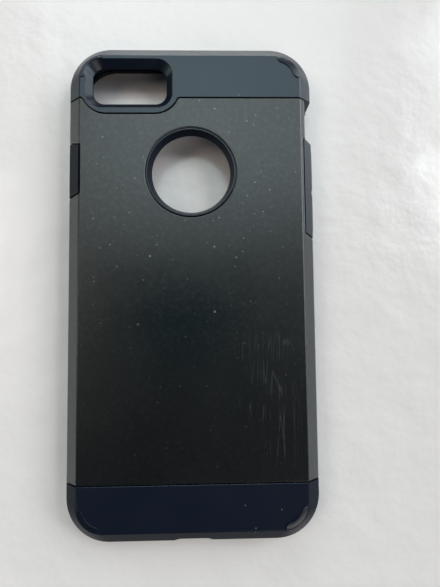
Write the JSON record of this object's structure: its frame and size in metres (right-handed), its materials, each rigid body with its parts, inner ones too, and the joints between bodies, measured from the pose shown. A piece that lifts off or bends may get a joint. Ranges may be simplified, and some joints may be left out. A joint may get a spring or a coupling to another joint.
{
  "type": "phone case",
  "caption": "Layered protective phone case with a soft inner sleeve, a hard outer shell, camera and round back openings, and press pads over the side buttons.",
  "frame": {"origin": "middle of the case's outline, on the plane that its open front rests on", "axes": "+X across the width towards the side with the volume pads, +Y along the length towards the camera opening, +Z out of the back of the case"},
  "size_m": [0.0722, 0.1424, 0.011],
  "materials": {
    "sleeve": "smooth satin thermoplastic polyurethane, navy black",
    "shell": "satin black polycarbonate with fine texture and light wear",
    "pads": "smooth satin thermoplastic polyurethane, navy black"
  },
  "bodies": {
    "sleeve": {"inner_sleeve": "sleeve"},
    "shell": {"outer_shell": "shell"},
    "power_pad": {"power_button": "pads"},
    "volume_up_pad": {"volume_up_button": "pads"},
    "volume_down_pad": {"volume_down_button": "pads"}
  },
  "joints": [
    {"name": "shell_lift_off", "type": "slide", "parent": "sleeve", "child": "shell", "axis": [0, 0, 1], "range_m": [0, 0.02]},
    {"name": "power_press", "type": "slide", "parent": "sleeve", "child": "power_pad", "axis": [1, 0, 0], "range_m": [0, 0.0006], "stiffness_N_per_m": 4000},
    {"name": "volume_up_press", "type": "slide", "parent": "sleeve", "child": "volume_up_pad", "axis": [-1, 0, 0], "range_m": [0, 0.0006], "stiffness_N_per_m": 4000},
    {"name": "volume_down_press", "type": "slide", "parent": "sleeve", "child": "volume_down_pad", "axis": [-1, 0, 0], "range_m": [0, 0.0006], "stiffness_N_per_m": 4000}
  ]
}
